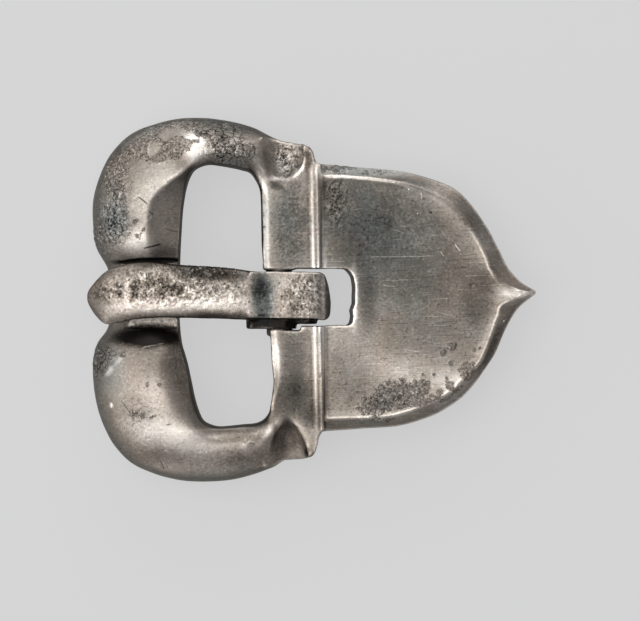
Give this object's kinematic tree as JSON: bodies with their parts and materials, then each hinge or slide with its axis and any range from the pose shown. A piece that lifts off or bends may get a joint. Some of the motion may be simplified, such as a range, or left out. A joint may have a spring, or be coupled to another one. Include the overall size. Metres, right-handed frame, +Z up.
{
  "type": "shoe buckle",
  "caption": "Cast silver shoe buckle with a two-lobed loop, a slotted shield-shaped plate with a pointed tip, pierced lugs behind and a broad swinging tongue.",
  "frame": {"origin": "middle of the buckle seen from above, at the level it rests on", "axes": "+X from the loop to the plate's pointed tip, +Z up off the buckle's face, +Y across it"},
  "size_m": [0.0362, 0.0294, 0.0074],
  "materials": {
    "cast_silver": "old cast silver, dark grey-brown tarnish on flats and hollows, pale and worn on the crests, crusted in patches",
    "tongue_silver": "old cast silver, finely pitted and speckled, pale on top and dark at the sides"
  },
  "bodies": {
    "frame": {"buckle_frame": "cast_silver"},
    "tongue_body": {"tongue": "tongue_silver"}
  },
  "joints": [
    {"name": "tongue_hinge", "type": "hinge", "parent": "frame", "child": "tongue_body", "pos_m": [-0.00266, 0, 0.0043], "axis": [0, 1, 0], "range_deg": [0, 100]}
  ]
}
